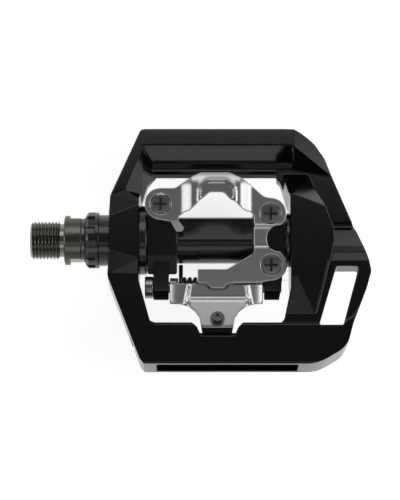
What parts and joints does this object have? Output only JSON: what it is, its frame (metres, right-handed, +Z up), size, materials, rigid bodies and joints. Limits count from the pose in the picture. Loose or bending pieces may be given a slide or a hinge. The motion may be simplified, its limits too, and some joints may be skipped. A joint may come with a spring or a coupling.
{
  "type": "clipless bicycle pedal",
  "caption": "Single-sided clipless platform pedal with a sprung pop-up cage, cleat claws and a threaded crank spindle, right-hand side.",
  "frame": {"origin": "spindle axis at the shoulder face that seats on the crank", "axes": "+X outboard along the spindle, +Y to the front of the pedal, +Z up out of the binding"},
  "size_m": [0.1242, 0.0894, 0.0391],
  "materials": {
    "cage_alloy": "satin black paint over cast and machined alloy",
    "body_alloy": "satin black paint",
    "claw_steel": "satin grey pressed steel",
    "screw_steel": "dark zinc steel",
    "axle_steel": "dark chrome-molybdenum steel, turned",
    "bearing_steel": "polished bearing steel",
    "resin": "glossy black resin",
    "seal_rubber": "black rubber",
    "spring_wire": "black oxide spring wire",
    "spring_bright": "bright spring wire"
  },
  "bodies": {
    "spindle": {"axle": "axle_steel", "cone_nut": "bearing_steel", "key_washer": "screw_steel", "lock_nut": "screw_steel"},
    "binding": {"binding_body": "body_alloy", "lock_sleeve": "resin", "dust_seal": "seal_rubber", "inner_cup": "bearing_steel", "outer_cup": "bearing_steel", "front_claw": "claw_steel", "claw_screws": "screw_steel", "pivot_pin": "screw_steel", "pin_clip": "screw_steel", "outer_pivot": "axle_steel", "spring_left": "spring_wire", "spring_right": "spring_wire"},
    "heel_claw": {"rear_claw": "claw_steel", "bolt_washer": "screw_steel"},
    "adjuster": {"tension_bolt": "screw_steel"},
    "adjuster_plate": {"tension_plate": "axle_steel"},
    "platform": {"cage": "cage_alloy", "hub_bush_inner": "resin", "hub_bush_outer": "resin", "cage_spring": "spring_bright"},
    "inner_ball_row": {"inner_balls": "bearing_steel"},
    "outer_ball_row": {"outer_balls": "bearing_steel"}
  },
  "joints": [
    {"name": "pedal_spin", "type": "hinge", "parent": "spindle", "child": "binding", "pos_m": [0.04, 0, 0], "axis": [1, 0, 0], "continuous": true},
    {"name": "inner_ball_orbit", "type": "hinge", "parent": "spindle", "child": "inner_ball_row", "pos_m": [0.02, 0, 0], "axis": [1, 0, 0], "continuous": true},
    {"name": "outer_ball_orbit", "type": "hinge", "parent": "spindle", "child": "outer_ball_row", "pos_m": [0.0615, 0, 0], "axis": [1, 0, 0], "continuous": true},
    {"name": "cage_pop_up", "type": "hinge", "parent": "binding", "child": "platform", "pos_m": [0.05, 0, 0], "axis": [1, 0, 0], "range_deg": [0, 15], "stiffness_Nm_per_rad": 0.25, "springref_deg": -34.38, "deforming": ["cage_spring"]},
    {"name": "heel_release", "type": "hinge", "parent": "binding", "child": "heel_claw", "pos_m": [0.0559, -0.0172, 0.004], "axis": [1, 0, 0], "range_deg": [0, 18], "stiffness_Nm_per_rad": 0.25, "springref_deg": -34.38, "deforming": ["spring_left", "spring_right"]},
    {"name": "tension_travel", "type": "slide", "parent": "heel_claw", "child": "adjuster_plate", "axis": [0, -0.309, -0.9511], "range_m": [0, 0.001]},
    {"name": "tension_turn", "type": "hinge", "parent": "heel_claw", "child": "adjuster", "pos_m": [0.0559, -0.0283, 0.01365], "axis": [0, 0.309, 0.9511], "range_deg": [0, 720]}
  ],
  "couplings": [
    {"joint": "inner_ball_orbit", "follows": "pedal_spin", "ratio": 0.5902},
    {"joint": "outer_ball_orbit", "follows": "pedal_spin", "ratio": 0.6144},
    {"joint": "tension_turn", "follows": "tension_travel", "rad_per_m": 12566}
  ]
}
